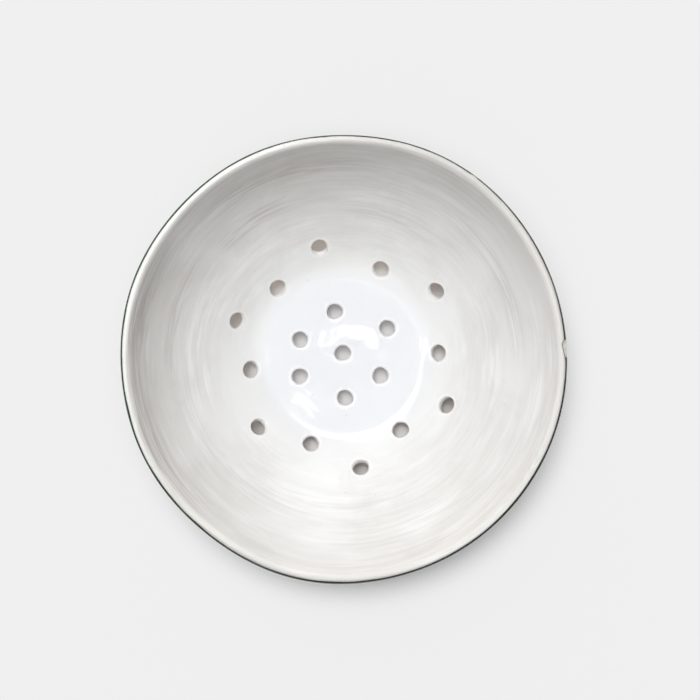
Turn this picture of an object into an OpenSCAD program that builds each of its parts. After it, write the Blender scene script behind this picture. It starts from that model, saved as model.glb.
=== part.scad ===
// A hand-thrown stoneware bowl with drain holes, for rinsing and serving berries.
// Millimetres, with Z up. The origin is on the table, under the middle of the foot.

/* [Bowl] */
// Diameter over the rim
rim_d = 190; // [165:1:220]
// Height from the table to the top of the rim
bowl_h = 70; // [60:1:82]
// Radius of the flat disc in the middle of the inside
floor_r = 35.5; // [31:0.5:41]
// Thickness of the clay floor
floor_t = 4.1; // [3:0.1:6]
// Thickness of the clay side
wall_t = 3.5; // [2.5:0.1:5]

/* [Glaze] */
// Thickness of each coat of glaze
glaze_t = 0.4; // [0.2:0.05:0.6]
// How far up the outside of the lip the dark glaze reaches, in degrees above level
lip_line_angle = 42; // [20:1:70]
// From the outer circle of drain holes out to the dark glaze, with bare clay below it
bare_gap = 8; // [6:0.5:12]

/* [Drain holes] */
// Diameter of each hole, inside its glaze
hole_d = 7.6; // [6:0.1:9]
// Radius of the circle of holes in the flat disc, as a share of the disc's radius
inner_ring_share = 0.6; // [0.56:0.01:0.62]
// From the edge of the disc out to the inner circle of holes in the dish
middle_ring_gap = 7.7; // [7:0.1:9]
// From that circle out to the outer circle of holes
outer_ring_gap = 8.1; // [6:0.1:10]

/* [Foot] */
// Height of the foot ring, from the table to the underside of the floor
foot_h = 5; // [4:0.1:8]
// How far the foot ring stands out past the flat disc
foot_out = 0.5; // [0.2:0.1:1.5]
// Width of the foot ring
foot_w = 5.5; // [4:0.1:6.4]
// Bevel on both edges of the face that the bowl stands on
foot_bevel = 1; // [0.4:0.1:1.5]
// Number of notches that let water out from under the floor
notch_count = 3; // [2:1:5]
// Radius of each half-round notch
notch_r = 2.6; // [1.5:0.1:3.5]

/* [Rim nick] */
// Direction of the deepest point of the nick, in degrees from the X axis
nick_turn = 4; // [0:1:359]
// Length of the nick's long taper
nick_l = 7; // [4:0.5:12]
// Depth of the nick
nick_depth = 1.1; // [0.5:0.1:1.5]
// Radius of the nick's hollow
nick_r = 2; // [1.6:0.1:3]

/* [Hidden] */
$fn = 120;

// How far each cut runs past what it cuts
overrun = 1;

// Whole thickness of the side, with the two coats
side_t = wall_t + 2 * glaze_t;
lip_r = side_t / 2;

// Height of the glazed floor, and the middle of the round lip over it
floor_z = foot_h + floor_t + glaze_t;
lip_centre = [rim_d / 2 - lip_r, bowl_h - lip_r];
lip_rise = lip_centre.y - floor_z;

// Round the flat disc the inside is part of a sphere. It starts at the disc's edge and is
// smooth with the round lip, and that gives its radius.
spread = lip_centre.x ^ 2 + lip_rise ^ 2 - floor_r ^ 2 - lip_r ^ 2;
steepness = lip_rise ^ 2 - lip_r ^ 2;
dish_root = sqrt((spread * lip_r) ^ 2 + steepness * (spread ^ 2 + (2 * lip_rise * floor_r) ^ 2));
dish_r = (dish_root - spread * lip_r) / (2 * steepness);
dish_drop = sqrt(dish_r ^ 2 - floor_r ^ 2);
dish_centre = [0, floor_z + dish_drop];

// A slope is an angle from level. The side at that slope faces the way of toward().
function toward(slope) = [sin(slope), -cos(slope)];
lip_slope = atan2(lip_centre.x, dish_centre.y - lip_centre.y);
reach = 2 * (dish_r + side_t);

// The foot, the circles of holes and the start of the dark glaze keep their distance from
// the disc's edge
foot_r = floor_r + foot_out;
inner_ring_r = inner_ring_share * floor_r;
middle_ring_r = floor_r + middle_ring_gap;
outer_ring_r = middle_ring_r + outer_ring_gap;
bare_slope = asin((outer_ring_r + bare_gap) / dish_r);

// The two glazes meet on the lip along this direction. The shapes that part them reach
// past the lip's seams with the side by the lap.
lip_line = 90 + lip_line_angle;
lap_angle = 45;

// The glaze rounds the mouth of each hole with a bevel, which stays clear of the clay
bevel_share = 1.5;
mouth_bevel = bevel_share * glaze_t;

// Drain holes, placed by eye: shares of their ring's radius, and of the pitch by which
// each is ahead of its even place
holes_in_ring = 6;
pitch = 360 / holes_in_ring;
inner_radius_shares = [0.87, 1.13, 1.03, 1.04, 1.05, 0.87];
inner_ahead_shares = [0, 0.01, 0.13, 0.06, -0.19, -0.05];
middle_radius_shares = [1, 1.02, 1.025, 1.005, 0.98, 0.97];
middle_ahead_shares = [-0.035, 0.045, 0.145, 0.035, 0.06, 0.05];
outer_radius_shares = [1, 1.01, 1.01, 1.01, 0.98, 0.985];
outer_ahead_shares = [-0.03, -0.015, 0.095, 0.065, 0.03, 0.025];
inner_start = -26;
middle_start = 5;
outer_start = -23;
centre_hole_share = 0.11;
centre_hole_turn = 111;

// Direction of the first notch
notch_start = 60;

clay_colour = [0.8, 0.67, 0.58];
white_glaze = [0.93, 0.93, 0.92];
dark_glaze = [0.1, 0.17, 0.12];

// Plane sections, with X as the radius and Y as the height

// Points that fan out from a centre between two slopes
function fan(centre, from, to, distance, steps = 4) =
    [for (k = [0:steps]) centre + distance * toward(from + (to - from) * k / steps)];

// All that lies inside a circle about the dish's centre and above a level floor
module basin(radius, floor_level) {
    intersection() {
        translate(dish_centre) circle(radius);
        translate([0, floor_level]) square(reach);
    }
}

// The bowl with its coats, less the given thickness on each coated side
module bowl_section(bared) {
    intersection() {
        difference() {
            basin(dish_r + side_t - bared, foot_h);
            basin(dish_r + bared, floor_z - bared);
        }
        polygon([dish_centre, each fan(dish_centre, 0, lip_slope, reach)]);
    }
    translate(lip_centre) circle(lip_r - bared);
}

// Both coats
module coat_section() {
    difference() {
        bowl_section(0);
        bowl_section(glaze_t);
    }
}

module inside_glaze_section() {
    intersection() {
        coat_section();
        union() {
            translate(dish_centre) circle(dish_r + lip_r);
            polygon([
                lip_centre,
                each fan(lip_centre, lip_line, lip_slope + 90 + lap_angle, side_t)
            ]);
        }
    }
}

module outside_glaze_section() {
    intersection() {
        coat_section();
        union() {
            difference() {
                polygon([dish_centre, each fan(dish_centre, bare_slope, lip_slope, reach)]);
                translate(dish_centre) circle(dish_r + lip_r);
            }
            polygon([
                lip_centre,
                each fan(lip_centre, lip_slope - lap_angle, lip_line, side_t)
            ]);
        }
    }
}

// From the middle of the inside coat out to the bare clay, where the glaze lines the holes
module lined_section() {
    intersection() {
        difference() {
            basin(dish_r + side_t - glaze_t, foot_h);
            basin(dish_r + glaze_t / 2, floor_z - glaze_t / 2);
        }
        polygon([dish_centre, each fan(dish_centre, 0, lip_slope, reach)]);
    }
}

module foot_section() {
    inner_r = foot_r - foot_w;
    top_z = foot_h + side_t;
    difference() {
        polygon([
            [inner_r, top_z],
            [inner_r, foot_bevel],
            [inner_r + foot_bevel, 0],
            [foot_r - foot_bevel, 0],
            [foot_r, foot_bevel],
            [foot_r, top_z]
        ]);
        basin(dish_r + side_t - glaze_t, foot_h);
    }
}

// Cuts

// Puts its children at the mouth of every drain hole, square to the glazed surface. The
// holes of the flat disc are upright, and the rest point at the dish's centre.
module at_holes() {
    translate([0, 0, dish_centre.y]) {
        rotate(centre_hole_turn)
            translate([centre_hole_share * inner_ring_r, 0, -dish_drop])
                children();
        for (i = [0:holes_in_ring - 1])
            rotate(inner_start + pitch * (i + inner_ahead_shares[i]))
                translate([inner_radius_shares[i] * inner_ring_r, 0, -dish_drop])
                    children();
        for (i = [0:holes_in_ring - 1])
            rotate(middle_start + pitch * (i + middle_ahead_shares[i]))
                rotate([0, -asin(middle_radius_shares[i] * middle_ring_r / dish_r), 0])
                    translate([0, 0, -dish_r])
                        children();
        for (i = [0:holes_in_ring - 1])
            rotate(outer_start + pitch * (i + outer_ahead_shares[i]))
                rotate([0, -asin(outer_radius_shares[i] * outer_ring_r / dish_r), 0])
                    translate([0, 0, -dish_r])
                        children();
    }
}

// All drain holes, right through the bottom
module bores(radius) {
    depth = floor_t + side_t + overrun;
    at_holes()
        translate([0, 0, -depth])
            cylinder(h = depth + overrun, r = radius);
}

// The holes in the clay, wide enough for their lining of glaze
module clay_bores() {
    bores(hole_d / 2 + glaze_t);
}

// The bevelled mouths of the holes
module mouths() {
    inner_r = hole_d / 2;
    at_holes()
        translate([0, 0, -mouth_bevel])
            cylinder(h = mouth_bevel + overrun, r1 = inner_r, r2 = inner_r + mouth_bevel + overrun);
}

// The nick is a short and a long cone, base to base, laid along the glaze line on the lip
module rim_nick() {
    away = lip_r + nick_r - nick_depth;
    rotate(nick_turn)
        translate([lip_centre.x + away * cos(lip_line_angle), 0,
                   lip_centre.y + away * sin(lip_line_angle)])
            rotate([90, 0, 0]) {
                cylinder(h = nick_l * nick_r / nick_depth, r1 = nick_r, r2 = 0);
                mirror([0, 0, 1]) cylinder(h = nick_r, r1 = nick_r, r2 = 0);
            }
}

// Pieces

module clay_bowl() {
    color(clay_colour)
        difference() {
            rotate_extrude() bowl_section(glaze_t);
            clay_bores();
            rim_nick();
        }
}

module foot_ring() {
    color(clay_colour)
        difference() {
            rotate_extrude() foot_section();
            for (i = [0:notch_count - 1])
                rotate(notch_start + 360 * i / notch_count)
                    rotate([0, 90, 0])
                        cylinder(h = foot_r + overrun, r = notch_r);
        }
}

module inside_glaze() {
    color(white_glaze)
        difference() {
            union() {
                rotate_extrude() inside_glaze_section();
                intersection() {
                    rotate_extrude() lined_section();
                    clay_bores();
                }
            }
            bores(hole_d / 2);
            mouths();
            rim_nick();
        }
}

module outside_glaze() {
    color(dark_glaze)
        difference() {
            rotate_extrude() outside_glaze_section();
            rim_nick();
        }
}

clay_bowl();
foot_ring();
inside_glaze();
outside_glaze();
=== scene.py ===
import math
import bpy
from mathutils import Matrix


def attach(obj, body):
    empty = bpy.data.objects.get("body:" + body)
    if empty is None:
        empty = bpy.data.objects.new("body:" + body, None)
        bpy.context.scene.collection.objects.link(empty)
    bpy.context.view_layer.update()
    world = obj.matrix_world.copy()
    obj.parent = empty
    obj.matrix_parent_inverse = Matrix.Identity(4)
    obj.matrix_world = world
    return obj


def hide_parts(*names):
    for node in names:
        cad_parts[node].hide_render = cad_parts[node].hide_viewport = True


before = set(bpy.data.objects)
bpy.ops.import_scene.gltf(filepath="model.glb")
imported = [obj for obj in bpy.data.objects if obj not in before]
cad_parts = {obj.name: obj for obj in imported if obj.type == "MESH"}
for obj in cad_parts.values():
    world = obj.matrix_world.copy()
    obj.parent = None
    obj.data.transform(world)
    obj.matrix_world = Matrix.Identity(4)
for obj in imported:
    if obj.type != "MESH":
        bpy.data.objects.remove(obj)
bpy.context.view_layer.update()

from types import SimpleNamespace

import bpy
import numpy as np
from mathutils import Vector
from mathutils.geometry import delaunay_2d_cdt

# Sizes in millimetres, as in the CAD model. Meshes are made in metres.
MM = 0.001
TAU = 2 * math.pi
LIP_R = 2.15
LIP_X = 92.85
LIP_Z = 67.85
FLOOR_Z = 9.5
FLOOR_R = 35.5
FLOOR_T = 4.5
SIDE_T = 4.3
GLAZE_T = 0.4
DARK_R = 59.3
HOLE_R = 3.8
LINED_R = HOLE_R + GLAZE_T
INNER_RING_R = 21.3
MIDDLE_RING_R = 43.2
OUTER_RING_R = 51.3
FOOT_R = 36.0
FOOT_W = 5.5
FOOT_H = 5
NOTCH_R = 2.6
NOTCHES_AT = (60, 180, 300)

# Mean radius of the dressed rim, whose waves stay inside the CAD model's box
RIM_R = 94.45

# Arc length, out from the middle, at which the holes' part of the mesh meets the side's rows
CORE = 62.0

# Radius of the rounded mouth of each hole
MOUTH_R = 4.45

# From the top of the glaze down to the clay, which lies just clear of the coat's back
SKIN = GLAZE_T + 0.02

# Directions of hand marks, in degrees from the photo's right, counter-clockwise from above
NICK_AT = 0
BREAK_AT = 54.4
FAR_SIDE_AT = 95
THIN_AT = -38
RIPPLE_AT = -30


def smooth(x, lo, hi):
    """0 up to lo and 1 from hi on, with a soft rise between them, or a fall if lo is larger"""
    t = np.clip((np.asarray(x, float) - lo) / (hi - lo), 0, 1)
    return t * t * (3 - 2 * t)


def degrees_off(phi, centre):
    """Degrees from a centre to a direction in radians, from -180 to 180"""
    return (np.degrees(phi) - centre + 180) % 360 - 180


def waves(x, y, z, scale, seed, count=9):
    """Smooth random height of about -1 to 1, made of plane waves"""
    rng = np.random.default_rng(seed)
    total = np.zeros(np.broadcast(x, y, z).shape)
    for _ in range(count):
        way = rng.normal(size=3)
        way /= np.linalg.norm(way)
        length = scale * rng.uniform(0.7, 1.5)
        total = total + np.cos(TAU * (way[0] * x + way[1] * y + way[2] * z) / length
                               + rng.uniform(0, TAU))
    return total / math.sqrt(count) * 0.8


def round_waves(phi, scale, seed, count=9, radius=60, level=0):
    """The same along a level circle about the axis, in millimetres"""
    return waves(radius * np.cos(phi), radius * np.sin(phi), level, scale, seed, count)


# The true shape, as a curve from the middle of the floor over the lip


def dish_radius():
    """Radius of the inside's sphere, worked out as in the CAD model"""
    rise = LIP_Z - FLOOR_Z
    spread = LIP_X**2 + rise**2 - FLOOR_R**2 - LIP_R**2
    steep = rise**2 - LIP_R**2
    root = math.sqrt((spread * LIP_R) ** 2 + steep * (spread**2 + (2 * rise * FLOOR_R) ** 2))
    return (root - spread * LIP_R) / (2 * steep)


DISH_R = dish_radius()
DISH_Z = FLOOR_Z + math.sqrt(DISH_R**2 - FLOOR_R**2)
LIP_SLOPE = math.atan2(LIP_X, DISH_Z - LIP_Z)
LIP_LEN = math.pi * LIP_R


def dish_slope(r):
    """Slope of the inside: level over the disc, a low crisp crease, then on to the sphere"""
    crease = 0.45 * smooth(r, FLOOR_R - 0.9, FLOOR_R + 0.9)
    share = crease + 0.55 * smooth(r, FLOOR_R, FLOOR_R + 7)
    return float(share) * math.asin(min(r / DISH_R, 1))


def profile():
    """Rows of arc length, radius, height and slope, and the arc length where the lip starts"""
    step = 0.05
    r, z, s = 0.0, 0.0, 0.0
    rows = [(s, r, z, 0.0)]
    while (slope := dish_slope(r)) < LIP_SLOPE:
        r += step * math.cos(slope)
        z += step * math.sin(slope)
        s += step
        rows.append((s, r, z, slope))
    seam = s
    turn = step / LIP_R
    slope = LIP_SLOPE
    while slope > LIP_SLOPE - math.pi:
        r += step * math.cos(slope - turn / 2)
        z += step * math.sin(slope - turn / 2)
        s += step
        slope -= turn
        rows.append((s, r, z, slope))
    arc, radius, height, slopes = np.array(rows).T
    # Set it on the real height and radius of the lip
    height = FLOOR_Z + height * (LIP_Z + LIP_R - FLOOR_Z) / height.max()
    radius = radius + smooth(radius, 62, 92) * (LIP_X + LIP_R - radius.max())
    return arc, radius, height, slopes, seam


ARC, RADIUS, HEIGHT, SLOPE, SEAM = profile()


def s_at_radius(r):
    """Arc length at a radius of the floor or dish"""
    inside = ARC <= SEAM
    return float(np.interp(r, RADIUS[inside], ARC[inside]))


def lip_angle(s):
    """Direction from the middle of the lip: 0 is straight down, 180 straight up"""
    return math.degrees(LIP_SLOPE) + 180 - (np.asarray(s) - SEAM) / LIP_R * 180 / math.pi


def at_lip_angle(angle):
    """Arc length at such a direction"""
    return SEAM + (math.degrees(LIP_SLOPE) + 180 - np.asarray(angle)) * math.pi / 180 * LIP_R


# How the thrown bowl leaves the true shape


def soft_edge():
    """How much lower the dish lies, over the radius, where the disc's edge is rounded over"""
    step = 0.1
    r = np.arange(0, 100, step)
    sphere = np.arcsin(np.clip(r / DISH_R, 0, 1))
    crisp = np.array([dish_slope(x) for x in r])
    drop = np.cumsum(np.tan(crisp) - np.tan(smooth(r, 34.5, 47) * sphere)) * step
    return r, drop * (1 - smooth(r, 47, 82))


SOFT_EDGE = soft_edge()


def outline_wave(phi):
    """How far the rim leaves a true circle: waves round it, how high each is and where"""
    parts = [
        (2, 0.3, -145), (3, 0.2, 130), (4, 0.15, -95), (5, 0.15, -110),
        (7, 0.15, 35), (8, 0.1, -145),
    ]
    return sum(a * np.cos(n * phi - math.radians(p)) for n, a, p in parts)


def place(s, phi, d):
    """Points at arc length s and direction phi, raised by d off the glazed profile"""
    s, phi, d = np.broadcast_arrays(np.asarray(s, float), np.asarray(phi, float),
                                    np.asarray(d, float))
    r = np.interp(s, ARC, RADIUS)
    z = np.interp(s, ARC, HEIGHT)
    slope = np.interp(s, ARC, SLOPE)
    # The disc's edge is crisp on the near side and rounded over on the far side
    far_side = 1 - smooth(np.abs(degrees_off(phi, FAR_SIDE_AT)), 80, 102)
    z = z - np.interp(r, *SOFT_EDGE) * far_side
    r = r - d * np.sin(slope)
    z = z + d * np.cos(slope)
    # Towards the rim the circle isn't quite round, and its height isn't quite even
    r = r + smooth(r, 55, 93) * (outline_wave(phi) + RIM_R - LIP_X - LIP_R)
    z = z - smooth(z, 30, 70) * (0.5 - 0.2 * round_waves(phi, 90, seed=11, count=5))
    return np.stack([r * np.cos(phi), r * np.sin(phi), z], axis=-1)


def nick_shape(phi):
    """How deep the nick is round the rim: a short side, then a long taper"""
    a = degrees_off(phi, NICK_AT)
    rise = 1 - smooth(a, 3.6, 5.15)
    fall = np.clip((a + 0.3) / 3.7, 0, 1) ** 1.25
    return rise * fall


def glaze_line(phi):
    """Lip angle at which the white glaze gives way to green"""
    line = 145 + 4 * np.cos(phi - math.radians(250))
    line = line + 4 * round_waves(phi, 55, seed=21) + 3.5 * round_waves(phi, 9, seed=22)
    # It swings out at the break, and in at two places and round the nick
    line = line - 16 * np.exp(-(degrees_off(phi, BREAK_AT) / 0.9) ** 2)
    line = line + 3 * np.exp(-(degrees_off(phi, -22) / 20) ** 2)
    line = line + 6 * np.exp(-(degrees_off(phi, 176) / 30) ** 2)
    return line + 33 * nick_shape(phi) ** 0.8


def throwing_rings(s, phi):
    """Rings left by the wheel, each strong in one or two directions and faint between them"""
    rng = np.random.default_rng(33)
    h = 0
    for _ in range(16):
        length = rng.uniform(4, 12)
        share = 0.5 + 0.5 * np.cos(phi * rng.integers(1, 3) - rng.uniform(0, TAU))
        drift = rng.uniform(-0.8, 0.8) * np.cos(phi - rng.uniform(0, TAU))
        h = h + 0.013 * share * length / 7 * np.cos(
            TAU * s / length + rng.uniform(0, TAU) + drift)
    return h


def lip_relief(s, phi, x, y):
    """The lip: thin and rippled at the near right, uneven all round, and nicked"""
    thin = 0.75 * np.exp(-(degrees_off(phi, THIN_AT) / 48) ** 2)
    near_lip = smooth(s, SEAM - 16, SEAM - 1) * (1 - smooth(s, SEAM + 2, SEAM + 4.6))
    off = degrees_off(phi, RIPPLE_AT)
    ripple = 0.22 * np.exp(-(off / 9) ** 2) * np.cos(np.radians(off) * 95)
    shoulder = np.exp(-((s - SEAM - 0.6) / 1.6) ** 2)
    across = np.exp(-((lip_angle(s) - 143) / 26) ** 2) * smooth(s, SEAM, SEAM + 1)
    h = near_lip * (0.15 - thin) + shoulder * (ripple + 0.05 * waves(x, y, 0, 16, seed=36))
    return h - 0.55 * nick_shape(phi) * across


def inner_relief(s, phi):
    """Unevenness of the inside and the lip, in millimetres off the true surface"""
    s, phi = np.broadcast_arrays(np.asarray(s, float), np.asarray(phi, float))
    p = place(s, phi, 0)
    x, y, z = p[..., 0], p[..., 1], p[..., 2]
    floor = 1 - smooth(s, 30, 42)
    wall = smooth(s, 36, 48) * (1 - smooth(s, SEAM - 2, SEAM + 1.5))
    h = floor * (0.014 * waves(x, y, 0, 24, seed=31) + 0.0032 * waves(x, y, 0, 8, seed=32))
    h = h + wall * throwing_rings(s, phi)
    h = h + wall * (0.10 * waves(x, y, z, 60, seed=34) + 0.03 * waves(x, y, z, 22, seed=35))
    # The faint ridge just outside the outer holes, and the wheel's dimple in the disc
    h = h + 0.14 * np.exp(-((s - 60.5) / 2.4) ** 2)
    h = h - 0.012 * np.exp(-(s / 9) ** 2)
    return h + lip_relief(s, phi, x, y)


def outer_relief(s, phi):
    """Unevenness of the outside, which fades out towards the foot and the lip"""
    s, phi = np.broadcast_arrays(np.asarray(s, float), np.asarray(phi, float))
    p = place(s, phi, -SIDE_T)
    x, y, z = p[..., 0], p[..., 1], p[..., 2]
    fade = smooth(s, 36, 44) * (1 - smooth(s, SEAM - 5, SEAM))
    h = 0.07 * waves(x, y, z, 48, seed=41) + 0.02 * waves(x, y, z, 14, seed=42)
    rng = np.random.default_rng(43)
    for _ in range(8):
        length = rng.uniform(4.5, 10)
        h = h + 0.035 * (0.6 + 0.4 * np.cos(phi - rng.uniform(0, TAU))) * np.cos(
            TAU * s / length + rng.uniform(0, TAU) + 0.6 * np.cos(phi - rng.uniform(0, TAU)))
    return fade * (h - 0.16)


def under(s, phi):
    """Level of the bare clay's underside: flat inside the foot, then round like the dish"""
    flat = 1 - smooth(s, 33.5, 36.8)
    grain = 0.05 * flat * inner_relief(s, phi)
    return -(flat * FLOOR_T + (1 - flat) * (SIDE_T - SKIN + outer_relief(s, phi))) + grain


# Drain holes, placed by the same shares as in the CAD model: of their circle's radius, and of
# the pitch, by which each is ahead of its even place
INNER = list(zip([0.87, 1.13, 1.03, 1.04, 1.05, 0.87], [0, 0.01, 0.13, 0.06, -0.19, -0.05]))
MIDDLE = list(zip([1, 1.02, 1.025, 1.005, 0.98, 0.97], [-0.035, 0.045, 0.145, 0.035, 0.06, 0.05]))
OUTER = list(zip([1, 1.01, 1.01, 1.01, 0.98, 0.985], [-0.03, -0.015, 0.095, 0.065, 0.03, 0.025]))
# Each circle's radius, where it starts in degrees, and its holes
RINGS = [(INNER_RING_R, -26, INNER), (MIDDLE_RING_R, 5, MIDDLE), (OUTER_RING_R, -23, OUTER)]
PITCH = 60
CENTRE_SHARE = 0.11
CENTRE_TURN = 111.0


def hole_list():
    """Radius and direction of every hole, the centre one first"""
    found = [(CENTRE_SHARE * INNER_RING_R, CENTRE_TURN)]
    for radius, start, ring in RINGS:
        found += [(radius * share, start + PITCH * (k + ahead))
                  for k, (share, ahead) in enumerate(ring)]
    return [(r, math.radians(a)) for r, a in found]


HOLES = hole_list()
# The first holes are the disc's
IN_DISC = 1 + len(INNER)
# Points round each hole
AROUND = 48
THETA = np.arange(AROUND) * TAU / AROUND


def hole_ring(k, a):
    """Arc lengths and directions of a circle of radius a on the glazed surface"""
    r0, phi0 = HOLES[k]
    a = a * np.ones(AROUND)
    if k < IN_DISC:
        x = r0 * math.cos(phi0) + a * np.cos(THETA + phi0)
        y = r0 * math.sin(phi0) + a * np.sin(THETA + phi0)
        return np.hypot(x, y), np.arctan2(y, x)
    slope0 = math.asin(r0 / DISH_R)
    s0 = s_at_radius(r0)
    alpha = a / DISH_R
    radial = np.array([math.cos(slope0), 0, math.sin(slope0)])
    down = np.array([math.sin(slope0), 0, -math.cos(slope0)])
    side = np.array([0, 1, 0])
    n = (np.cos(alpha)[:, None] * down + np.sin(alpha)[:, None]
         * (np.cos(THETA)[:, None] * radial + np.sin(THETA)[:, None] * side))
    slope = np.arccos(np.clip(-n[:, 2], -1, 1))
    return s0 + DISH_R * (slope - slope0), phi0 + np.arctan2(n[:, 1], n[:, 0])


def hole_wobble(k):
    """How far a hole is from its round: cut by hand, and narrowed a little by pooled glaze"""
    rng = np.random.default_rng(500 + k)
    w = np.zeros(AROUND)
    for n, amp in ((1, 0.06), (2, 0.16), (3, 0.08), (5, 0.04)):
        w += amp * rng.uniform(0.4, 1) * np.cos(n * THETA - rng.uniform(0, TAU))
    return w - rng.uniform(0.0, 0.2) - (0.12 if k < IN_DISC else 0)


# Meshes


class Shell:
    """A closed mesh gathered from rows of points"""

    def __init__(self):
        self.points = []
        self.edge = []
        self.faces = []
        self.count = 0

    def add(self, points, edge=0.0):
        """Adds points, with how thin the glaze is there, which round the disc's holes also stands
        for painted shadow, and gives back their numbers
        """
        points = np.asarray(points).reshape(-1, 3)
        start = self.count
        self.points.append(points)
        self.edge.append(np.broadcast_to(np.asarray(edge, float), (len(points),)))
        self.count += len(points)
        return np.arange(start, self.count)

    def strip(self, a, b, flip=False):
        """Faces between two closed rows"""
        a2, b2 = np.roll(a, -1), np.roll(b, -1)
        quads = np.stack([a, a2, b2, b], axis=1)
        if flip:
            quads = quads[:, ::-1]
        self.faces.extend(quads.tolist())

    def rows(self, rows, flip=False):
        """Faces between each row and the next"""
        for a, b in zip(rows, rows[1:]):
            self.strip(a, b, flip)

    def triangles(self, tris, index, flip=False):
        """Planned triangles, with the numbers that their points have here"""
        t = index[np.asarray(tris)]
        if flip:
            t = t[:, ::-1]
        self.faces.extend(t.tolist())

    def build(self, name):
        """The finished object, with smooth shading"""
        mesh = bpy.data.meshes.new(name)
        co = np.concatenate(self.points) * MM
        mesh.from_pydata(co.tolist(), [], self.faces)
        mesh.update()
        layer = mesh.attributes.new("edge", "FLOAT", "POINT")
        layer.data.foreach_set("value", np.concatenate(self.edge).astype(np.float32))
        mesh.shade_smooth()
        obj = bpy.data.objects.new(name, mesh)
        bpy.context.scene.collection.objects.link(obj)
        return obj


def directions(per_degree, closer):
    """Directions round the bowl, so many a degree, and closer together at each given place:
    its centre, half width in degrees, how many more a degree, and how square it is"""
    marks = np.linspace(-180, 180, 20001)[:-1]
    density = np.full(len(marks), per_degree)
    for centre, half, more, power in closer:
        density = density + more * np.exp(-(degrees_off(np.radians(marks), centre) / half) ** power)
    total = np.cumsum(density) * (marks[1] - marks[0])
    n = int(total[-1])
    return np.radians(np.interp((np.arange(n) + 0.5) * total[-1] / n, total, marks))


PHI = directions(1 / 0.78, [(2.4, 3.4, 5.5, 4), (BREAK_AT, 1.8, 3, 4), (RIPPLE_AT, 20, 1.0, 4)])


def plan(loops, spacing=1.25):
    """Triangles over the middle of the bowl, laid flat, round the hole loops"""
    coords, edges = [], []

    def ring(s, phi):
        start = len(coords)
        coords.extend(zip((s * np.cos(phi)).tolist(), (s * np.sin(phi)).tolist()))
        n = len(coords) - start
        edges.extend((start + i, start + (i + 1) % n) for i in range(n))
        return np.arange(start, start + n)

    outer = ring(CORE * np.ones(len(PHI)), PHI)
    holes = [ring(*loop) for loop in loops]
    uv = np.array(coords)
    centres = [uv[h].mean(axis=0) for h in holes]
    radii = [np.linalg.norm(uv[h] - c, axis=1).max() for h, c in zip(holes, centres)]
    count = int(CORE / spacing)
    for j in range(count):
        s = (j + 0.35) * CORE / count
        if s > CORE - 0.8:
            continue
        n = max(6, int(TAU * s / spacing))
        for i in range(n):
            a = TAU * (i + 0.5 * (j % 2)) / n
            x, y = s * math.cos(a), s * math.sin(a)
            if all(math.hypot(x - c[0], y - c[1]) > r + 0.45 * spacing
                   for c, r in zip(centres, radii)):
                coords.append((x, y))
    # The fourth result tells from which of the points given here each point of a triangle is
    out = delaunay_2d_cdt([Vector(c) for c in coords], edges, [], 0, 1e-7)
    given = [ids[0] for ids in out[3]]
    # Triangles with all their corners on one loop would close a hole, and are left out
    closed = [set(h.tolist()) for h in holes]
    tris = []
    for tri in out[2]:
        tri = [given[i] for i in tri]
        if not any(all(i in c for i in tri) for c in closed):
            tris.append(tri)
    uv = np.array(coords)
    return SimpleNamespace(s=np.hypot(uv[:, 0], uv[:, 1]), phi=np.arctan2(uv[:, 1], uv[:, 0]),
                           tris=np.array(tris), outer=outer, holes=holes)


MIDDLE_PART = plan([hole_ring(k, MOUTH_R) for k in range(len(HOLES))])
LINE_S = at_lip_angle(glaze_line(PHI))


def side_rows(end, count, step):
    """Arc lengths of the rows from the middle part to near the lip, and a number of closer
    rows from there to an end that may wave"""
    last = SEAM - 1
    n = int((last - CORE) / step)
    rows = [np.full(len(PHI), CORE + (last - CORE) * i / n) for i in range(1, n + 1)]
    return rows + [last + (end - last) * i / count for i in range(1, count + 1)]


def hole_rows(shell, k, steps):
    """Rows of points down a hole. Each step is a radius, the wobble's share, the relief's
    share, the edge value, and a depth under the top or a height over the underside."""
    wobble = hole_wobble(k)
    made = []
    for a, loose, share, edge, depth, height in steps:
        s, phi = hole_ring(k, a + loose * wobble)
        level = inner_relief(s, phi) * share - depth if height is None else under(s, phi) + height
        made.append(shell.add(place(s, phi, level), edge))
    return made


def lining_steps(k):
    """The glaze's way down a hole: over the rounded mouth, where it is thin along a line, down the
    wall, and back up behind its thin lower end. On the disc's holes that line is mostly painted
    shadow"""
    rng = np.random.default_rng(700 + k)
    round_r = MOUTH_R - HOLE_R
    bend = rng.uniform(0.85, 1.15)
    # On the disc's holes the line is weaker and is mostly painted shadow; on the others it is thin
    # glaze over clay
    thin = 0.6 if k < IN_DISC else 1.2
    steps = []
    for degrees in (14, 28, 42, 56, 70, 90):
        b = math.radians(degrees)
        a = HOLE_R + round_r * (1 - math.sin(b) ** bend)
        edge = thin * math.exp(-((degrees - 36) / 13) ** 2)
        steps.append((a, math.sin(b), math.cos(b) ** 2, edge, round_r * (1 - math.cos(b)), None))
    return steps + [
        (HOLE_R - 0.02, 1, 0, 0.1, 1.6, None),
        (HOLE_R - 0.03, 1, 0, 0, 2.2, None),
        (HOLE_R, 0.8, 0, 0, 2.7, None),
        (HOLE_R + 0.02, 0.5, 0, 0, 0, 0.5),
        (HOLE_R + 0.09, 0.3, 0, 1, 0, 0.12),
        (HOLE_R + 0.24, 0.1, 0, 1, 0, 0.02),
        (LINED_R - 0.01, 0, 0, 0.8, 0, 0.1),
        (LINED_R, 0, 0, 0, 0, 0.5),
        (LINED_R, 0, 0, 0, 0.9, None),
    ]


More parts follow.
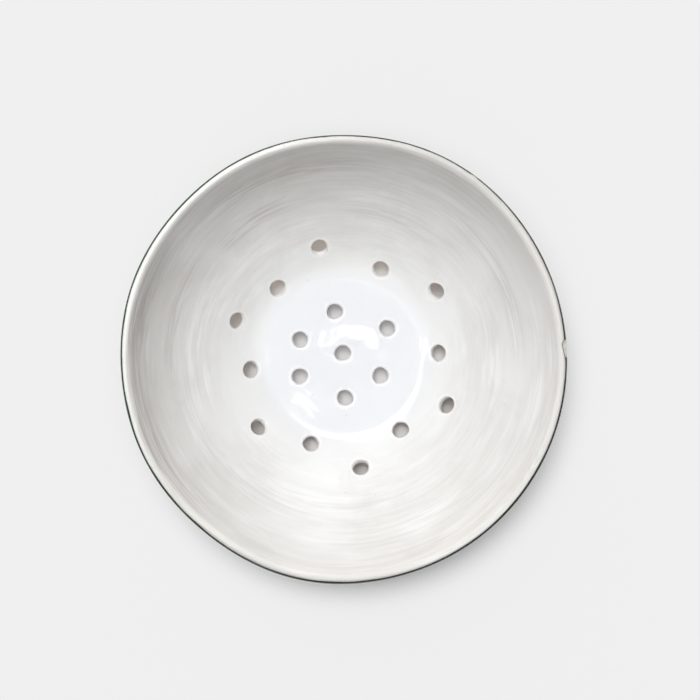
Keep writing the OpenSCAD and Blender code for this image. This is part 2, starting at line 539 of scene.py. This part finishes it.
def white_coat():
    """The inside's coat: floor, dish and lip up to the glaze line, and the holes' linings"""
    shell = Shell()
    core = MIDDLE_PART
    h = inner_relief(core.s, core.phi)
    # Below zero stands for the pale, thick glaze round a hole
    edge = np.zeros(len(core.s))
    for ring in core.holes:
        edge[ring] = -1
    top = shell.add(place(core.s, core.phi, h), edge)
    back = shell.add(place(core.s, core.phi, h - GLAZE_T))
    shell.triangles(core.tris, top)
    shell.triangles(core.tris, back, flip=True)
    fronts, backs = [top[core.outer]], [back[core.outer]]
    for row in side_rows(LINE_S, count=22, step=1.1):
        h = inner_relief(row, PHI)
        inside = smooth(np.abs(row - LINE_S), 0, 0.9)
        fronts.append(shell.add(place(row, PHI, h - 0.05 * (1 - inside)), 1 - inside))
        backs.append(shell.add(place(row, PHI, h - GLAZE_T)))
    shell.rows(fronts, flip=True)
    shell.rows(backs)
    shell.strip(fronts[-1], backs[-1], flip=True)
    for k, ring in enumerate(core.holes):
        rows = hole_rows(shell, k, lining_steps(k))
        shell.rows([top[ring]] + rows + [back[ring]])
    return shell.build("white_coat")


def clay_body():
    """The thrown bowl under its glaze, bare below, with a slightly broken edge at each hole"""
    shell = Shell()
    core = MIDDLE_PART
    inside = shell.add(place(core.s, core.phi, inner_relief(core.s, core.phi) - SKIN))
    outside = shell.add(place(core.s, core.phi, under(core.s, core.phi)))
    shell.triangles(core.tris, inside)
    shell.triangles(core.tris, outside, flip=True)
    up = side_rows(np.full(len(PHI), SEAM), count=2, step=1.6)
    over = [np.full(len(PHI), SEAM + LIP_LEN * i / 20) for i in range(1, 20)]
    chain = [inside[core.outer]]
    for row in up + over:
        chain.append(shell.add(place(row, PHI, inner_relief(row, PHI) - SKIN)))
    for row in up[::-1]:
        chain.append(shell.add(place(row, PHI, under(row, PHI))))
    chain.append(outside[core.outer])
    shell.rows(chain, flip=True)
    wide = LINED_R + 0.03
    steps = [
        (wide, 0, 0, 0, 0.95, None),
        (wide, 0, 0, 0, 0, 0.3),
        (wide + 0.04, 0, 0, 0, 0, 0.12),
        (wide + 0.14, 0, 0, 0, 0, 0.03),
        (wide + 0.3, 0, 0, 0, 0, 0),
    ]
    for k, ring in enumerate(core.holes):
        shell.rows([inside[ring]] + hole_rows(shell, k, steps) + [outside[ring]])
    return shell.build("clay_body")


def dark_side(shell, outer_rows, inner_rows):
    """The dark coat on the side, from the wavy bead where the dipping stopped"""
    start = s_at_radius(DARK_R)
    start = start + 0.8 * round_waves(PHI, 70, seed=51) + 0.3 * round_waves(PHI, 15, seed=52)
    count = 64
    for i in range(count):
        row = start + (SEAM - start) * (i / count) ** 1.4
        relief = outer_relief(row, PHI)
        past = row - start
        full = np.sqrt(1 - (1 - np.clip(past / 0.5, 0, 1)) ** 2)
        bead = 0.13 * np.exp(-((past - 0.9) / 0.7) ** 2)
        thick = GLAZE_T * (0.1 + 0.9 * full) + bead * full
        edge = 1 - smooth(past, 0.2, 1.1)
        outer_rows.append(shell.add(place(row, PHI, GLAZE_T - SIDE_T - relief - thick), edge))
        inner_rows.append(shell.add(place(row, PHI, GLAZE_T - SIDE_T - relief)))


def dark_lip(shell, outer_rows, inner_rows):
    """The dark coat round the lip, up to the glaze line. It is pale in the nick."""
    count = 24
    for i in range(count + 1):
        row = SEAM + LIP_LEN + (LINE_S - SEAM - LIP_LEN) * i / count
        h = inner_relief(row, PHI)
        past = row - LINE_S
        near = 1 - smooth(past, 0, 0.55)
        pale = smooth(nick_shape(PHI), 0.03, 0.2) * smooth(past, 0.1, 0.4)
        outer_rows.append(shell.add(place(row, PHI, h - 0.03 * near), pale))
        inner_rows.append(shell.add(place(row, PHI, h - GLAZE_T)))


def dark_coat():
    """The outside's coat, from the bead up the side and over the lip to the glaze line"""
    shell = Shell()
    outer_rows, inner_rows = [], []
    dark_side(shell, outer_rows, inner_rows)
    dark_lip(shell, outer_rows, inner_rows)
    shell.strip(inner_rows[0], outer_rows[0])
    shell.rows(outer_rows)
    shell.rows(inner_rows, flip=True)
    shell.strip(outer_rows[-1], inner_rows[-1])
    return shell.build("dark_coat")


def foot_line():
    """Section of the foot ring, from its hidden top down the inner side and up the outer"""
    inner, outer = FOOT_R - FOOT_W, FOOT_R
    return [
        (inner + 1.2, 6.0), (inner - 0.75, 5.05), (inner - 0.3, 4.82), (inner - 0.08, 4.4),
        (inner, 3.6), (inner + 0.03, 2.6), (inner + 0.05, 1.7), (inner + 0.12, 1.0),
        (inner + 0.4, 0.45), (inner + 0.85, 0.12), (inner + 1.4, 0.01), (inner + 2.2, 0.0),
        (outer - 2.2, 0.0), (outer - 1.4, 0.01), (outer - 0.85, 0.12), (outer - 0.4, 0.45),
        (outer - 0.1, 1.0), (outer - 0.03, 1.8), (outer, 2.8), (outer + 0.02, 3.8),
        (outer + 0.12, 4.6), (outer + 0.4, 5.2), (outer + 1.0, 5.85), (outer - 0.5, 6.4),
    ]


def notch_arch(r, phi):
    """Height of the foot's lower edge over the table, where a notch goes through"""
    height = 0
    for a in NOTCHES_AT:
        off = r * np.sin(np.radians(degrees_off(phi, a)))
        # Across the axis from the notch the ring stays whole
        off = np.where(np.abs(degrees_off(phi, a)) < 20, off, 99.0)
        arch = np.sqrt(np.clip(NOTCH_R**2 - off**2, 0, None))
        height = np.maximum(height, arch * smooth(np.abs(off), 2.75, 2.3))
    return height


def foot():
    """The foot ring, thrown on, trimmed and notched, with a slip fillet at its root"""
    phi = directions(1 / 1.1, [(a, 5.4, 3.2, 6) for a in NOTCHES_AT])
    line = foot_line()
    shell = Shell()
    rows = []
    for j, (r, z) in enumerate(line):
        hidden = j in (0, len(line) - 1)
        wave = 0.07 * round_waves(phi, 16, seed=61, radius=36, level=z * 3)
        ring = 0.05 * math.sin(z * 4.4)
        outward = 1 if r > FOOT_R - FOOT_W / 2 else -1
        side = float(smooth(z, 0.3, 1.4))
        bent = 0 if hidden else outward * side * (wave + ring) - 0.05 * side * outward
        radius = r + bent
        height = z + np.zeros(len(phi))
        if z < FOOT_H:
            height = np.maximum(height, notch_arch(radius, phi))
        if z < 0.2:
            uneven = 1 + round_waves(phi, 12, seed=62, radius=36)
            height = height + 0.005 + 0.015 * np.clip(uneven, 0, 2)
        points = np.stack([radius * np.cos(phi), radius * np.sin(phi), height], axis=-1)
        rows.append(shell.add(points))
    shell.rows(rows)
    shell.strip(rows[-1], rows[0])
    return shell.build("foot_trimmed")


# Materials, with places in metres


def rgb(r, g, b):
    return (r, g, b, 1.0)


class Graph:
    """A node tree under construction"""

    def __init__(self, tree):
        self.tree = tree
        tree.nodes.clear()

    def node(self, kind, **settings):
        made = self.tree.nodes.new(kind)
        for key, value in settings.items():
            setattr(made, key, value)
        return made

    def link(self, a, b):
        self.tree.links.new(a, b)

    def feed(self, socket, value):
        """Links a socket to another, or sets it to a value"""
        if hasattr(value, "links"):
            self.link(value, socket)
        else:
            socket.default_value = value

    def math(self, kind, *values, clamp=False):
        made = self.node("ShaderNodeMath", operation=kind, use_clamp=clamp)
        for socket, value in zip(made.inputs, values):
            self.feed(socket, value)
        return made.outputs[0]

    def noise(self, vector, scale, detail=3.0, rough=0.55, distort=0.0):
        made = self.node("ShaderNodeTexNoise")
        self.feed(made.inputs["Vector"], vector)
        made.inputs["Scale"].default_value = scale
        made.inputs["Detail"].default_value = detail
        made.inputs["Roughness"].default_value = rough
        made.inputs["Distortion"].default_value = distort
        return made.outputs["Fac"]

    def spots(self, vector, scale, inner, outer):
        """1 within the inner distance of scattered points, down to 0 at the outer"""
        made = self.node("ShaderNodeTexVoronoi")
        self.link(vector, made.inputs["Vector"])
        made.inputs["Scale"].default_value = scale
        return self.remap(made.outputs["Distance"], inner, outer, 1.0, 0.0)

    def remap(self, value, lo, hi, to_lo=0.0, to_hi=1.0):
        """From one range to another, with a soft start and end"""
        made = self.node("ShaderNodeMapRange", interpolation_type="SMOOTHSTEP")
        self.feed(made.inputs["Value"], value)
        made.inputs["From Min"].default_value = lo
        made.inputs["From Max"].default_value = hi
        made.inputs["To Min"].default_value = to_lo
        made.inputs["To Max"].default_value = to_hi
        return made.outputs["Result"]

    def mix(self, fac, a, b):
        """From colour a to colour b. They are inputs 6 and 7 of the node."""
        made = self.node("ShaderNodeMix", data_type="RGBA")
        self.feed(made.inputs[0], fac)
        self.feed(made.inputs[6], a)
        self.feed(made.inputs[7], b)
        return made.outputs[2]

    def combine(self, x, y, z):
        made = self.node("ShaderNodeCombineXYZ")
        for socket, value in zip(made.inputs, (x, y, z)):
            self.feed(socket, value)
        return made.outputs[0]

    def bump(self, height, strength, distance):
        made = self.node("ShaderNodeBump")
        made.inputs["Strength"].default_value = strength
        made.inputs["Distance"].default_value = distance
        self.feed(made.inputs["Height"], height)
        return made.outputs[0]

    def around(self, vector, least):
        """A position or direction, its parts, its distance from the axis and, as a cosine
        and a sine, its direction round it. The least distance keeps the division safe."""
        split = self.node("ShaderNodeSeparateXYZ")
        self.link(vector, split.inputs[0])
        x, y, z = split.outputs
        r = self.math("SQRT", self.math("ADD", self.math("MULTIPLY", x, x),
                                        self.math("MULTIPLY", y, y)))
        r = self.math("MAXIMUM", r, least)
        return SimpleNamespace(pos=vector, x=x, y=y, z=z, r=r, cosine=self.math("DIVIDE", x, r),
                               sine=self.math("DIVIDE", y, r))

    def facing(self, at, azimuth):
        """1 in the given direction from the axis, down to -1 on the far side of it"""
        a = math.radians(azimuth)
        return self.math("ADD", self.math("MULTIPLY", at.cosine, math.cos(a)),
                         self.math("MULTIPLY", at.sine, math.sin(a)))

    def streaks(self, at, along, turns, width, detail):
        """Brush or throwing streaks that run round the bowl: long arcs, narrow across"""
        vector = self.combine(self.math("MULTIPLY", at.cosine, turns),
                              self.math("MULTIPLY", at.sine, turns),
                              self.math("DIVIDE", along, width))
        return self.noise(vector, 1.0, detail, rough=0.6, distort=0.25)


class Material(Graph):
    """A new material whose surface is one principled shader"""

    def __init__(self, name):
        self.mat = bpy.data.materials.new(name)
        self.mat.use_nodes = True
        super().__init__(self.mat.node_tree)
        self.out = self.node("ShaderNodeOutputMaterial")
        self.bsdf = self.node("ShaderNodeBsdfPrincipled")
        self.link(self.bsdf.outputs[0], self.out.inputs[0])

    def place(self):
        return self.around(self.node("ShaderNodeTexCoord").outputs["Object"], 0.0005)

    def edge(self):
        """The meshes' value for thin glaze, which round the mouths of the disc's holes also stands
        for painted shadow, or below zero for thick glaze
        """
        return self.node("ShaderNodeAttribute", attribute_name="edge").outputs["Fac"]


DEEP = rgb(0.53, 0.487, 0.462)
MILK = rgb(0.97, 0.97, 0.965)
# Where each colour's strokes lie, from none to full, in the noise of the strokes
STROKE_RANGE = {DEEP: (0.56, 0.44), MILK: (0.46, 0.58)}
# Brushed parts of the side: radius and half width in metres, direction and spread in
# degrees, colour of the strokes and how strong they are
BRUSHED = [
    # The first band, under the lip at the left, is partly dark glaze strokes and partly painted
    # shade of the steep wall there
    (0.0922, 0.0055, 190, 46, DEEP, 0.7), (0.0915, 0.0030, 300, 80, DEEP, 0.2),
    (0.0875, 0.0035, 105, 30, DEEP, 0.6), (0.0800, 0.0035, 165, 26, DEEP, 0.35),
    (0.0890, 0.0050, 136, 22, MILK, 0.6),
    (0.0765, 0.0040, 124, 18, DEEP, 0.5), (0.0700, 0.0030, 72, 26, DEEP, 0.35),
    (0.0800, 0.0040, 24, 30, DEEP, 0.25), (0.0740, 0.0030, 232, 26, DEEP, 0.2),
    (0.0690, 0.0085, 176, 34, MILK, 0.95), (0.0650, 0.0060, 140, 34, MILK, 0.6),
    (0.0760, 0.0040, 200, 26, MILK, 0.6), (0.0690, 0.0060, 6, 28, MILK, 0.8),
    (0.0880, 0.0040, 358, 26, MILK, 0.6), (0.0690, 0.0070, 262, 42, MILK, 0.75),
    (0.0820, 0.0050, 288, 40, MILK, 0.6), (0.0750, 0.0040, 96, 20, MILK, 0.5),
]
# Directions on the lip and side, in degrees. The upper left is where painted shade darkens the side
# and painted light brightens the lip.
UPPER_LEFT = 157
LEFT = 172


def white_tones(g, at):
    """The coat without its strokes, partly painted shade: bluish on the disc and darker there, which
    evens out the disc's stronger light, palest on the dish, darker and warmer up the steep side, and
    most of all at the upper left, which is turned from the light"""
    dabs = g.noise(at.pos, 62.0, 3.0)
    # Painted shade, in part: the disc is darker than the dish to even out its stronger light, and
    # the steep side darkens towards the rim
    body = g.mix(g.remap(dabs, 0.3, 0.7), rgb(0.822, 0.834, 0.868), rgb(0.838, 0.848, 0.872))
    body = g.mix(g.remap(at.r, 0.03, 0.045), body, rgb(0.89, 0.892, 0.896))
    body = g.mix(g.remap(at.r, 0.040, 0.047), body, rgb(0.915, 0.915, 0.915))
    body = g.mix(g.remap(at.wander, 0.0580, 0.0605), body, rgb(0.885, 0.882, 0.876))
    body = g.mix(g.remap(at.r, 0.060, 0.072), body, rgb(0.876, 0.869, 0.856))
    body = g.mix(g.remap(at.r, 0.082, 0.0915), body, rgb(0.862, 0.842, 0.808))
    # Painted shade: the side at the upper left, turned from the light, is painted darker and warmer
    warm = g.remap(g.facing(at, UPPER_LEFT), -0.2, 0.9)
    warm = g.math("MULTIPLY", g.remap(at.r, 0.066, 0.088), warm)
    return g.mix(g.math("MULTIPLY", warm, 0.6), body, rgb(0.775, 0.757, 0.722))


def brush_bands(g, at, body):
    """Strokes of thin, dark glaze and of thick, milky glaze, each band on its own arc"""
    strokes = g.streaks(at, at.along, turns=2.4, width=0.0019, detail=2.5)
    for radius, width, azimuth, spread, colour, amount in BRUSHED:
        band = g.math("ABSOLUTE", g.math("SUBTRACT", at.wander, radius))
        band = g.remap(band, 0.25 * width, width, 1.0, 0.0)
        end = math.cos(math.radians(spread))
        band = g.math("MULTIPLY", band, g.remap(g.facing(at, azimuth), end, 1.0))
        band = g.math("MULTIPLY", band, g.remap(strokes, *STROKE_RANGE[colour]))
        body = g.mix(g.math("MULTIPLY", band, amount), body, colour)
    return body


def thin_marks(g, at):
    """How thin the coat is, in fine and broad strokes that come and go over the side"""
    fine = g.streaks(at, at.along, turns=3.2, width=0.0024, detail=4.0)
    broad = g.streaks(at, at.along, turns=3.2, width=0.009, detail=3.0)
    mark = g.math("ADD", g.math("MULTIPLY", g.remap(fine, 0.34, 0.7), 0.55),
                  g.math("MULTIPLY", g.remap(broad, 0.3, 0.7), 0.45))
    mark = g.math("MULTIPLY", mark, g.remap(at.patches, 0.4, 0.6, 0.12, 1.0))
    return g.math("MULTIPLY", mark, at.side)


def lip_tone(g, at, body):
    """The lip is warm grey, and paler at the upper left, where it faces the light: painted light"""
    # Painted light: the lip at the upper left is painted paler, where the light falls on it
    pale = g.remap(g.facing(at, UPPER_LEFT), 0.2, 0.95)
    lip = g.mix(pale, rgb(0.7, 0.689, 0.668), rgb(0.95, 0.95, 0.93))
    return g.mix(g.remap(at.r, 0.0908, 0.0925), body, lip)


def milky_strokes(g, at, body):
    """Thicker strokes over all the side, most where the thin ones are few"""
    shifted = g.math("ADD", at.along, 0.4)
    milky = g.streaks(at, shifted, turns=2.2, width=0.0034, detail=3.0)
    some = g.remap(at.patches, 0.56, 0.42, 0.3, 1.0)
    milky = g.math("MULTIPLY", g.remap(milky, 0.54, 0.68), some)
    return g.mix(g.math("MULTIPLY", g.math("MULTIPLY", milky, at.side), 0.4), body, MILK)


def glaze_edges(g, at, body):
    """Clay that shows through where the coat thins out, greenish on the lip's left, and the thick
    pale glaze round the holes.
    Round the mouths of the disc's holes the thin line is mostly painted shadow"""
    edge = g.edge()
    thin = g.math("MULTIPLY", edge, g.remap(g.noise(at.pos, 420.0, 2.0), 0.35, 0.65, 0.25, 1.0))
    left = g.remap(g.facing(at, LEFT), 0.4, 0.9)
    left = g.math("MULTIPLY", left, g.remap(at.r, 0.085, 0.09))
    tint = g.mix(left, rgb(0.56, 0.45, 0.39), rgb(0.56, 0.7, 0.5))
    body = g.mix(g.math("MULTIPLY", thin, 0.55), body, tint)
    return g.mix(g.remap(edge, 0.0, -0.9, 0.0, 0.5), body, rgb(0.96, 0.96, 0.96))


def white_material():
    """The inside's milky glaze"""
    g = Material("white_glaze_brushed")
    at = g.place()
    # What its parts share: 0 on the disc and 1 on the side, a length up the side, the radius
    # with a waver, and the patches in which thin strokes come and go
    at.side = g.remap(at.r, 0.038, 0.058)
    at.along = g.math("ADD", at.r, g.math("MULTIPLY", at.z, 0.9))
    at.wander = g.math("ADD", at.r, g.math("MULTIPLY", g.noise(at.pos, 24.0, 2.0), 0.006))
    at.patches = g.noise(at.pos, 17.0, 2.0)
    mark = thin_marks(g, at)
    body = brush_bands(g, at, white_tones(g, at))
    cloud = g.remap(g.noise(at.pos, 26.0, 4.0, rough=0.6, distort=0.8), 0.45, 0.72)
    cloud = g.math("MULTIPLY", cloud, at.side)
    body = g.mix(g.math("MULTIPLY", cloud, 0.16), body, DEEP)
    thin = g.mix(g.remap(at.z, 0.012, 0.055), rgb(0.75, 0.745, 0.735), rgb(0.68, 0.66, 0.625))
    body = g.mix(g.math("MULTIPLY", mark, 0.72), body, thin)
    body = lip_tone(g, at, body)
    body = milky_strokes(g, at, body)
    body = glaze_edges(g, at, body)
    pits = g.spots(at.pos, 95.0, 0.02, 0.045)
    body = g.mix(g.math("MULTIPLY", pits, 0.35), body, rgb(0.45, 0.42, 0.38))
    g.link(body, g.bsdf.inputs["Base Color"])
    dull = g.math("ADD", g.remap(mark, 0.0, 1.0, 0.03, 0.2), g.remap(at.r, 0.089, 0.0925, 0.0, 0.35))
    g.link(dull, g.bsdf.inputs["Roughness"])
    g.bsdf.inputs["IOR"].default_value = 1.5
    height = g.noise(at.pos, 150.0, 2.0)
    height = g.math("MULTIPLY", height, g.remap(at.side, 0.0, 1.0, 0.32, 0.4))
    height = g.math("ADD", height, g.math("MULTIPLY", mark, 0.35))
    g.link(g.bump(height, strength=0.35, distance=0.00018), g.bsdf.inputs["Normal"])
    return g.mat


def dark_material():
    """Green glaze, nearly black where it pools, with paler runs, a pale break in the nick, and
    painted light that makes it greener on the left
    """
    g = Material("dark_green_glaze")
    at = g.place()
    run = g.streaks(at, at.z, turns=5.0, width=0.004, detail=3.0)
    pool = g.noise(at.pos, 34.0, 3.0)
    tone = g.mix(g.remap(pool, 0.34, 0.66), rgb(0.006, 0.009, 0.007), rgb(0.021, 0.04, 0.024))
    tone = g.mix(g.math("MULTIPLY", g.remap(run, 0.5, 0.72), 0.5), tone, rgb(0.055, 0.085, 0.046))
    # Painted light: greener and lighter towards the left, the side that faces the light
    green = g.remap(at.x, 0.02, -0.09)
    tone = g.mix(g.math("MULTIPLY", green, 0.5), tone, rgb(0.026, 0.06, 0.028))
    grain = g.remap(g.noise(at.pos, 520.0, 2.0), 0.35, 0.65)
    pale = g.mix(grain, rgb(0.82, 0.82, 0.76), rgb(0.66, 0.67, 0.58))
    tone = g.mix(g.math("MULTIPLY", g.edge(), 0.9), tone, pale)
    g.link(tone, g.bsdf.inputs["Base Color"])
    g.link(g.remap(pool, 0.3, 0.7, 0.09, 0.22), g.bsdf.inputs["Roughness"])
    g.bsdf.inputs["IOR"].default_value = 1.5
    height = g.math("ADD", g.noise(at.pos, 130.0, 2.0), g.math("MULTIPLY", run, 0.5))
    g.link(g.bump(height, strength=0.3, distance=0.0002), g.bsdf.inputs["Normal"])
    return g.mat


def clay_material():
    """Bare buff stoneware, with fine turning lines and iron specks"""
    g = Material("bare_stoneware")
    at = g.place()
    lines = g.streaks(at, at.r, turns=3.0, width=0.0012, detail=4.0)
    cloud = g.noise(at.pos, 40.0, 4.0)
    grain = g.noise(at.pos, 900.0, 3.0)
    tone = g.mix(g.remap(cloud, 0.3, 0.7), rgb(0.62, 0.42, 0.29), rgb(0.72, 0.53, 0.39))
    tone = g.mix(g.math("MULTIPLY", g.remap(lines, 0.45, 0.7), 0.35), tone, rgb(0.48, 0.35, 0.27))
    specks = g.math("MULTIPLY", g.spots(at.pos, 520.0, 0.1, 0.17), g.remap(grain, 0.5, 0.62))
    tone = g.mix(g.math("MULTIPLY", specks, 0.6), tone, rgb(0.2, 0.13, 0.09))
    g.link(tone, g.bsdf.inputs["Base Color"])
    g.link(g.remap(grain, 0.3, 0.7, 0.72, 0.92), g.bsdf.inputs["Roughness"])
    height = g.math("ADD", grain, g.math("MULTIPLY", lines, 1.2))
    g.link(g.bump(height, strength=0.45, distance=0.0002), g.bsdf.inputs["Normal"])
    return g.mat


# Pieces

clay = clay_material()
pieces = [
    (white_coat(), "inside_glaze", "white_glaze", white_material()),
    (dark_coat(), "outside_glaze", "dark_glaze", dark_material()),
    (clay_body(), "clay_bowl", "bare_clay", clay),
    (foot(), "foot_ring", "bare_clay", clay),
]
for obj, node, slot, mat in pieces:
    obj.data.materials.append(mat)
    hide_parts(node)
    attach(obj, "root")


# Floor, light and camera

BACKGROUND = 0.871
FLOOR_HALF = 3.0
# Directions, in degrees, towards the side that the light comes from
LIT_SIDE = 125
GLOW_SIDE = 103
PANE_STRENGTH = 8.0


def floor_material():
    """Matt and pale, with the bowl's shadow. Beyond the shadow, and a little under the disc's
    holes, the camera and mirrors see the background's glow in place of the lit floor."""
    g = Material("pale_floor")
    at = g.place()
    shade = g.remap(g.noise(at.pos, 300.0, 3.0), 0.3, 0.7)
    shade = g.mix(shade, rgb(0.866, 0.866, 0.866), rgb(0.87, 0.87, 0.87))
    g.link(shade, g.bsdf.inputs["Base Color"])
    g.bsdf.inputs["Roughness"].default_value = 0.9
    g.bsdf.inputs["Specular IOR Level"].default_value = 0.0
    glow = g.node("ShaderNodeEmission")
    glow.inputs["Color"].default_value = rgb(1, 1, 1)
    glow.inputs["Strength"].default_value = BACKGROUND
    rays = g.node("ShaderNodeLightPath")
    seen = g.math("ADD", rays.outputs["Is Camera Ray"], rays.outputs["Is Glossy Ray"])
    seen = g.math("ADD", seen, rays.outputs["Is Transmission Ray"], clamp=True)
    # The glow starts nearer to the bowl on the light's side, where it casts no shadow
    lit_side = g.math("MULTIPLY", g.math("ADD", g.facing(at, LIT_SIDE), 1.0), 0.0035)
    beyond = g.remap(g.math("ADD", at.r, lit_side), 0.1005, 0.121, 0.0, 0.9)
    through = g.remap(at.r, 0.034, 0.027, 0.0, 0.2)
    mixer = g.node("ShaderNodeMixShader")
    g.link(g.math("MULTIPLY", seen, g.math("MAXIMUM", beyond, through)), mixer.inputs[0])
    g.link(g.bsdf.outputs[0], mixer.inputs[1])
    g.link(glow.outputs[0], mixer.inputs[2])
    g.link(mixer.outputs[0], g.out.inputs[0])
    return g.mat


def floor():
    """A square far wider than the view, in metres"""
    mesh = bpy.data.meshes.new("studio_floor")
    corners = [(-1, -1), (1, -1), (1, 1), (-1, 1)]
    points = [(x * FLOOR_HALF, y * FLOOR_HALF, 0) for x, y in corners]
    mesh.from_pydata(points, [], [(0, 1, 2, 3)])
    obj = bpy.data.objects.new("studio_floor", mesh)
    bpy.context.scene.collection.objects.link(obj)
    obj.data.materials.append(floor_material())


floor()

# Small bright panes, seen only where the level glaze of the disc mirrors them: azimuth, tilt
# from straight up and size, in degrees
PANES = [
    (40, 0.8, 0.34), (88, 0.56, 0.38), (138, 0.72, 0.34),
    (222, 2.79, 0.11), (229, 2.75, 0.14), (236, 2.79, 0.11),
    (341, 1.37, 0.11), (161, 1.63, 0.08), (247, 2.8, 0.06),
]


def sky(g):
    """Strength of the light from each direction: soft overhead, a strong broad light that
    leans back with the gap that the camera leaves in it, a low glow and a window behind, a
    bounce from in front, and the panes"""
    at = g.around(g.node("ShaderNodeTexCoord").outputs["Generated"], 0.001)

    def lobe(azimuth, tilt, inner, outer, strength):
        """Light of full strength up to the inner angle from its centre, and none past the
        outer. The tilt is from straight up, and all are in degrees."""
        a, lean = math.radians(azimuth), math.radians(tilt)
        near = g.math("ADD", g.math("MULTIPLY", at.x, math.sin(lean) * math.cos(a)),
                      g.math("MULTIPLY", at.y, math.sin(lean) * math.sin(a)))
        near = g.math("ADD", near, g.math("MULTIPLY", at.z, math.cos(lean)))
        return g.remap(near, math.cos(math.radians(outer)), math.cos(math.radians(inner)),
                       0.0, strength)

    overhead = lobe(azimuth=0, tilt=0, inner=8, outer=38, strength=0.85)
    leaning = lobe(azimuth=113, tilt=15, inner=2, outer=17, strength=11.8)
    behind = lobe(azimuth=116, tilt=31, inner=6, outer=16, strength=2.0)
    gap = g.remap(at.z, math.cos(math.radians(8)), math.cos(math.radians(4)), 1.0, 0.1)
    key = g.math("MULTIPLY", g.math("ADD", leaning, behind), gap)
    low = g.remap(g.facing(at, GLOW_SIDE), -0.05, 0.85)
    low = g.math("MULTIPLY", low, g.remap(at.z, 0.56, 0.34, 0.0, 1.4))
    window = lobe(azimuth=97, tilt=52, inner=8, outer=26, strength=0.8)
    bounce = lobe(azimuth=255, tilt=40, inner=6, outer=24, strength=1.0)
    total = g.math("ADD", key, 0.04)
    for part in (overhead, low, window, bounce):
        total = g.math("ADD", total, part)
    for azimuth, tilt, size in PANES:
        total = g.math("MAXIMUM", total, lobe(azimuth, tilt, size, size + 0.1, PANE_STRENGTH))
    return total


def light():
    """The world: the sky lights the scene, and the camera sees the plain background"""
    world = bpy.data.worlds.new("studio")
    bpy.context.scene.world = world
    world.use_nodes = True
    g = Graph(world.node_tree)
    rays = g.node("ShaderNodeLightPath")
    # The values that the node goes between are its inputs 2 and 3
    strength = g.node("ShaderNodeMix", data_type="FLOAT")
    g.feed(strength.inputs[0], rays.outputs["Is Camera Ray"])
    g.feed(strength.inputs[2], sky(g))
    g.feed(strength.inputs[3], BACKGROUND)
    back = g.node("ShaderNodeBackground")
    g.feed(back.inputs["Color"], rgb(1, 1, 1))
    g.feed(back.inputs["Strength"], strength.outputs[0])
    out = g.node("ShaderNodeOutputWorld")
    g.link(back.outputs[0], out.inputs[0])


light()

view = bpy.context.scene.view_settings
view.view_transform = "Standard"

# The camera looks straight down from a little off the bowl's axis, in millimetres
CAMERA_AT = (2.575, 3.63, 666.4)
lens = bpy.data.cameras.new("camera")
lens.lens = 73.1
lens.sensor_width = 36
lens.clip_start = 0.01
camera = bpy.data.objects.new("camera", lens)
camera.location = [c * MM for c in CAMERA_AT]
bpy.context.scene.collection.objects.link(camera)
bpy.context.scene.camera = camera

bpy.context.view_layer.update()
